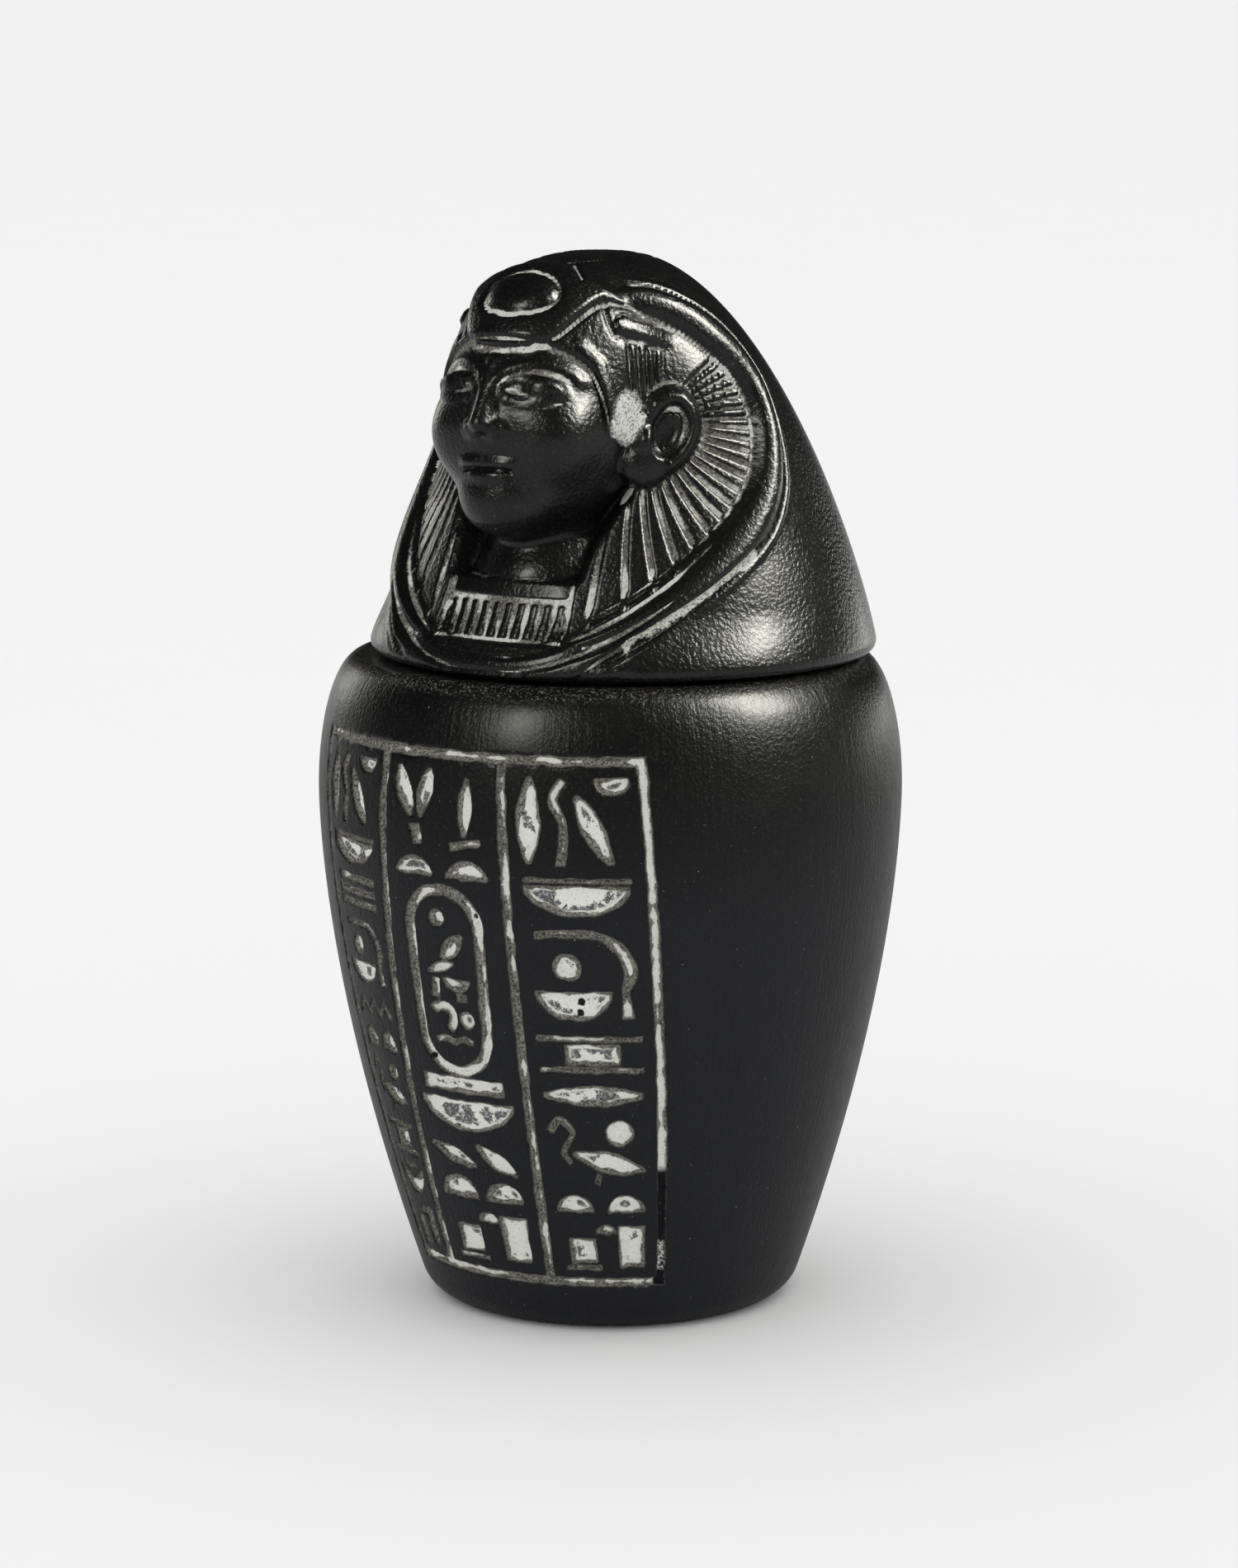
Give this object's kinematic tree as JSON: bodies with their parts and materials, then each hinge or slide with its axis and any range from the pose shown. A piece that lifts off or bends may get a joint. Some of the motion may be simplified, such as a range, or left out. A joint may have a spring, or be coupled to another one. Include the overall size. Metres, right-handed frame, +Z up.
{
  "type": "canopic jar",
  "caption": "Small black canopic jar, hollow, with a lift-off lid carved as a hooded human head and a panel of shallow abstract strokes in columns.",
  "frame": {"origin": "middle of the jar's underside, on the jar's axis", "axes": "+Z up along the jar's axis, the lid's face looks along -Y, +X to the figure's left"},
  "size_m": [0.0722, 0.0722, 0.1302],
  "materials": {
    "jar": "satin black, grey-white chalky wash in the cut strokes",
    "lid": "semi-gloss black with a fine orange-peel skin, grey-white chalky wash in the recesses"
  },
  "bodies": {
    "root": {"jar": "jar", "lid": "lid"}
  },
  "joints": []
}
